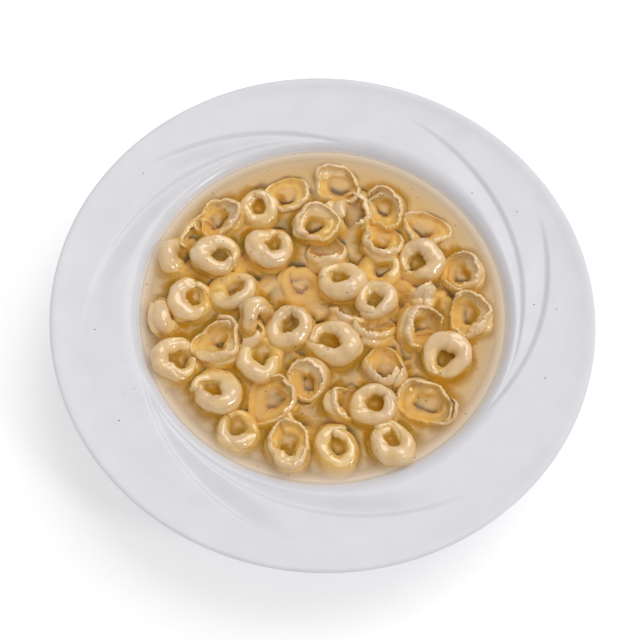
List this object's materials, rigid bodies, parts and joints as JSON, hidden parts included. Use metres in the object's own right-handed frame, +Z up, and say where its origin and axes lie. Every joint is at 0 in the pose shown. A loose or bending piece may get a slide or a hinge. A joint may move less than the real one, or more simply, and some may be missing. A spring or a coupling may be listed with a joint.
{
  "type": "tortellini in broth",
  "caption": "Filled pasta rings floating in a clear golden broth, served in a white porcelain soup plate with a wide rim and swirl relief.",
  "frame": {"origin": "centre of the foot ring on the table", "axes": "+Z up, out of the plate; -Y towards the diner; +X to the diner's right"},
  "size_m": [0.28, 0.28, 0.041],
  "materials": {
    "porcelain": "glossy white glaze",
    "broth": null,
    "pasta": null
  },
  "bodies": {
    "root": {"soup_plate": "porcelain", "broth": "broth", "tortellino_01": "pasta", "tortellino_02": "pasta", "tortellino_03": "pasta", "tortellino_04": "pasta", "tortellino_05": "pasta", "tortellino_06": "pasta", "tortellino_07": "pasta", "tortellino_08": "pasta", "tortellino_09": "pasta", "tortellino_10": "pasta", "tortellino_11": "pasta", "tortellino_12": "pasta", "tortellino_13": "pasta", "tortellino_14": "pasta", "tortellino_15": "pasta", "tortellino_16": "pasta", "tortellino_17": "pasta", "tortellino_18": "pasta", "tortellino_19": "pasta", "tortellino_20": "pasta", "tortellino_21": "pasta", "tortellino_22": "pasta", "tortellino_23": "pasta", "tortellino_24": "pasta", "tortellino_25": "pasta", "tortellino_26": "pasta", "tortellino_27": "pasta", "tortellino_28": "pasta", "tortellino_29": "pasta", "tortellino_30": "pasta", "tortellino_31": "pasta", "tortellino_32": "pasta", "tortellino_33": "pasta", "tortellino_34": "pasta", "tortellino_35": "pasta", "tortellino_36": "pasta", "tortellino_37": "pasta"}
  },
  "joints": []
}
